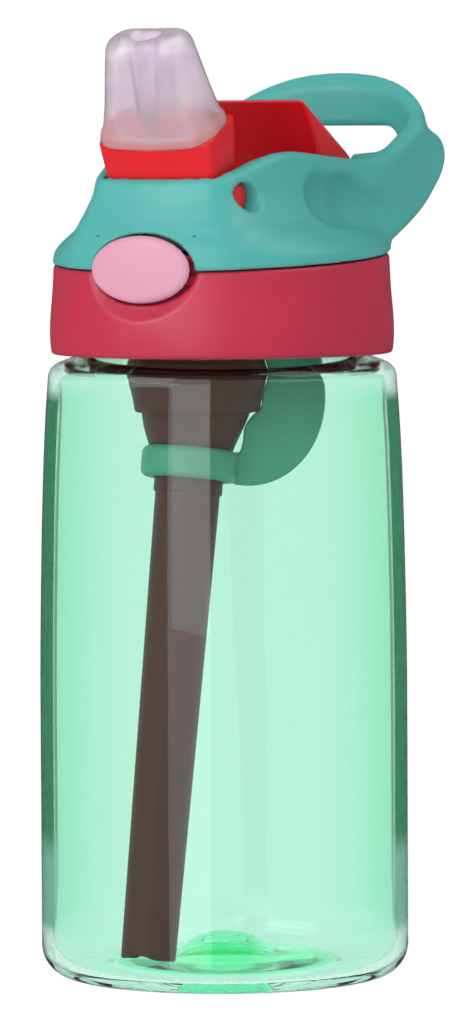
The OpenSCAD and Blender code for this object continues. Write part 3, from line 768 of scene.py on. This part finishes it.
def thread_shape(angle, r, z):
    """Helical ridge on the neck, added to the radius of the outer wall."""
    if r < 26.9 or z < 124:
        return 0
    turn = np.mod(angle, 2 * math.pi) / (2 * math.pi)
    ridge = np.zeros_like(angle)
    for lap in range(2):
        at = turn + lap
        height = z - (128.5 + 4 * at)
        taper = np.clip(np.minimum(at, THREAD_LAPS - at) * 6 + 0.2, 0, 1) * (at <= THREAD_LAPS)
        ridge = np.maximum(ridge, THREAD_HEIGHT * taper * np.clip((0.95 - np.abs(height)) / 0.45, 0, 1))
    return ridge


def body_profile():
    """Outer wall from the centre of the base up, then the inner wall back down."""
    wall = 2.6
    neck = 27.0
    dome_below = [(0, 5.0), (3, 4.85), (5.5, 4.25), (7.6, 3.1), (9.0, 2.1), (10.6, 1.65), (14, 1.45),
                  (18, 1.3), (21.5, 1.2)]
    foot = arc(23.4, 2.0, 1.6, -160, -90, 5)[1:] + arc(30.2, 6.4, 6.4, -90, 0, 18)
    side_z = [10, 20, 30, 40, 50, 60, 66, 72, 78, 84, 90, 96, 102, 108, 113]
    side = [(side_radius(z), z) for z in side_z]
    shoulder = (arc(31.4, 119.4, 3.3, 0, 62, 8) + [(31.6, 122.9), (30.0, 123.5), (28.6, 124.0)]
                + arc(28, 125.0, 1, 250, 180, 4))
    neck_outer = [(neck, z) for z in np.linspace(125.4, 138.8, 42)] + arc(26.4, 139.0, 0.6, 0, 90, 4)
    neck_inner = (arc(25.2, 139.0, 0.6, 90, 180, 4) + [(24.6, 132), (24.6, 124.5)]
                  + arc(26.6, 123.2, 2, 180, 250, 4))
    inner_shoulder = arc(30.2, 118.6, 2.4, 75, 0, 7)
    inner_side = [(side_radius(z) - wall, z) for z in reversed(side_z[1:])]
    dome_above = [(24, 2.6), (21.5, 3.7), (18, 4.2), (14, 4.35), (11.2, 4.6), (9.2, 5.3), (7.4, 6.6),
                  (5.4, 7.8), (3, 8.5), (0, 8.7)]
    floor = arc(BODY_R - wall - 5.0, 7.6, 5.4, 0, -88, 10) + dome_above
    outside = dome_below + foot + side + shoulder + neck_outer
    return outside + neck_inner + inner_shoulder + inner_side + floor


def side_radius(z):
    """Straight lower body that draws in slightly towards the shoulder."""
    drawn_in = [(50, 0), (60, 0.02), (83, 0.35), (95, 0.65), (107, 1.1), (115, 1.55), (120, 1.85)]
    return BODY_R - float(curve(np.array(float(z)), drawn_in))


# ---------- build the pieces ----------

teal = plastic("teal_plastic", (80, 180, 172), 0.42)
crimson = plastic("crimson_plastic", (196, 44, 72), 0.4)
red = plastic("red_plastic", (232, 20, 34), 0.33, grain=2600, coat=0.12)
pink = plastic("pink_plastic", (224, 160, 182), 0.45, grain=1500, depth=0.00004)
dark = plastic("dark_plastic", (52, 52, 56), 0.45)
# Painted shade: a red darkened to red-brown for the straw, its adapter, the cup and the inner lid, which lie
# in shade inside the bottle and under the lid.
straw_red = plastic("shaded_red_plastic", (90, 30, 28), 0.45, soft=0.0, shine=0.15)
white_silicone = plastic("white_silicone", (230, 230, 228), 0.5, soft=0.4)
teal_silicone = plastic("teal_silicone", (80, 146, 126), 0.5, soft=0.35)
milky = clear_silicone()
wire = steel()

# Node replaced, its field, the lowest and highest corner and the step of its grid, body, slot and material
FINE_PIECES = (
    ("lid_shell", lid_shell_field, (-35, -36, 140), (35, 55, 181), 0.55, "lid", "cover_teal", teal),
    ("collar", collar_field, (-34.5, -34.5, 123.5), (34.5, 34.5, 146.5), 0.5, "lid", "collar_crimson",
     crimson),
    ("spout_carrier", carrier_field, (-17, -31, 149), (17, -8, 174), 0.4, "spout", "insert_red", red),
    ("mouthpiece", mouthpiece_field, (-13.5, -36, 163), (13.5, -12, 190), 0.4, "spout", "silicone_clear",
     milky),
    ("rear_shield", shield_field, (-15.5, 5, 147.5), (15.5, 28, 175.5), 0.4, "lid", "insert_red", red),
    ("button", button_field, (-11.5, -35, 134.5), (11.5, -29.5, 148.8), 0.35, "button", "button_pink", pink),
    ("straw", straw_field, (-9, -33, 4), (7, -4, 107), 0.45, "lid", "straw_red", straw_red),
    ("straw_adapter", adapter_field, (-12, -23, 96), (12, 2, 118), 0.45, "lid", "straw_red", straw_red),
    ("vent_strap", strap_field, (-11, -24, 95), (25, 5, 144), 0.4, "lid", "silicone_teal", teal_silicone),
)
for node, field, corner_low, corner_high, step, body, slot, material in FINE_PIECES:
    points, faces = surface_net(field, corner_low, corner_high, step)
    paint(make_object(node + "_looks", points, faces, body, [node]), material)

paint(lathe_piece("bottle_body_looks", body_profile(), "bottle", ["bottle_body"],
                  turns=256, shape=thread_shape), clear_green())
# The cup here, and the inner lid below, take the red darkened as painted shade.
paint(lathe_piece("cup_looks", cup_profile(), "lid", centre=(0, CUP_Y)), straw_red)

for node, material in (("inner_lid", straw_red), ("neck_seal", white_silicone),
                       ("valve_seat", white_silicone), ("carrier_spring", wire),
                       ("latch_slide", dark), ("button_spring", wire)):
    paint(frame["nodes"][node], material)


# ---------- floor, light and camera ----------

def seen_or_lit(tree, seen, lit):
    """One shader for rays seen directly or through the clear body, another for light."""
    nodes, links = tree.nodes, tree.links
    path = nodes.new("ShaderNodeLightPath")
    either = nodes.new("ShaderNodeMath")
    either.operation = "MAXIMUM"
    links.new(path.outputs["Is Camera Ray"], either.inputs[0])
    links.new(path.outputs["Is Transmission Ray"], either.inputs[1])
    mix = nodes.new("ShaderNodeMixShader")
    links.new(either.outputs[0], mix.inputs["Fac"])
    links.new(lit, mix.inputs[1])
    links.new(seen, mix.inputs[2])
    return mix.outputs[0]


def make_floor():
    """Pale floor that reads as white paper."""
    size = 4.0
    mesh = bpy.data.meshes.new("floor")
    corners = [(-size, -size, 0), (size, -size, 0), (size, size, 0), (-size, size, 0)]
    mesh.from_pydata(corners, [], [(0, 1, 2, 3)])
    floor = bpy.data.objects.new("floor", mesh)
    bpy.context.scene.collection.objects.link(floor)
    floor.visible_glossy = False
    material = bpy.data.materials.new("floor_paper")
    material.use_nodes = True
    tree = material.node_tree
    tree.nodes.remove(tree.nodes["Principled BSDF"])
    diffuse = tree.nodes.new("ShaderNodeBsdfDiffuse")
    diffuse.inputs["Color"].default_value = (0.9, 0.9, 0.9, 1)
    glow = tree.nodes.new("ShaderNodeEmission")
    glow.inputs["Strength"].default_value = 1.06
    blend = tree.nodes.new("ShaderNodeMixShader")
    blend.inputs["Fac"].default_value = 0.93
    tree.links.new(diffuse.outputs[0], blend.inputs[1])
    tree.links.new(glow.outputs[0], blend.inputs[2])
    out = seen_or_lit(tree, blend.outputs[0], diffuse.outputs[0])
    tree.links.new(out, tree.nodes["Material Output"].inputs["Surface"])
    mesh.materials.append(material)


def make_world():
    """White to the eye, soft grey as ambient light and darker still in gloss, as a dark studio is."""
    world = bpy.data.worlds.new("studio")
    bpy.context.scene.world = world
    world.use_nodes = True
    tree = world.node_tree
    seen = tree.nodes["Background"]
    seen.inputs["Strength"].default_value = 1.02
    lit, gloss = (tree.nodes.new("ShaderNodeBackground") for _ in range(2))
    lit.inputs["Strength"].default_value = 0.52
    gloss.inputs["Strength"].default_value = 0.12
    for background in (seen, lit, gloss):
        background.inputs["Color"].default_value = (1, 1, 1, 1)
    path, pick = tree.nodes.new("ShaderNodeLightPath"), tree.nodes.new("ShaderNodeMixShader")
    tree.links.new(path.outputs["Is Glossy Ray"], pick.inputs["Fac"])
    tree.links.new(lit.outputs[0], pick.inputs[1])
    tree.links.new(gloss.outputs[0], pick.inputs[2])
    out = seen_or_lit(tree, seen.outputs[0], pick.outputs[0])
    tree.links.new(out, tree.nodes["World Output"].inputs["Surface"])


def softbox(name, azimuth, distance, height, width, tall, power, tint=(1, 1, 1)):
    """Upright rectangular light facing the object. Azimuth 0 is in front (-Y), 90 at +X."""
    light = bpy.data.lights.new(name, "AREA")
    light.shape = "RECTANGLE"
    light.size, light.size_y = width, tall
    light.energy = power
    light.color = tint
    obj = bpy.data.objects.new(name, light)
    bpy.context.scene.collection.objects.link(obj)
    a = math.radians(azimuth)
    obj.location = (distance * math.sin(a), -distance * math.cos(a), height)
    obj.visible_camera = False
    aim = Vector((0, 0, 0.1)) - obj.location
    obj.rotation_euler = aim.to_track_quat("-Z", "Y").to_euler()


def make_camera():
    """Long lens with a slight roll, looking from 29 degrees to the right of the front and slightly down."""
    azimuth, distance, height = math.radians(29), 1.346, 0.176
    camera = bpy.data.cameras.new("camera")
    obj = bpy.data.objects.new("camera", camera)
    bpy.context.scene.collection.objects.link(obj)
    right = Vector((math.cos(azimuth), math.sin(azimuth), 0))
    obj.location = Vector((distance * math.sin(azimuth), -distance * math.cos(azimuth), height))
    aim = right * 0.0026 + Vector((0, 0, 0.0924))
    roll = Quaternion((0, 0, 1), math.radians(-0.29))
    obj.rotation_euler = ((aim - obj.location).to_track_quat("-Z", "Y") @ roll).to_euler()
    camera.lens = 237.8
    camera.sensor_width = 36
    camera.sensor_fit = "AUTO"
    bpy.context.scene.camera = obj


make_floor()
make_world()
softbox("key", -22, 1.5, 0.75, 0.9, 0.9, 9)
softbox("strip", 7.5, 1.35, 0.2, 0.64, 1.5, 6.4, (0.97, 0.93, 1.0))
softbox("top", 100, 0.9, 1.3, 0.9, 0.9, 5)
make_camera()
bpy.context.scene.view_settings.view_transform = "Standard"
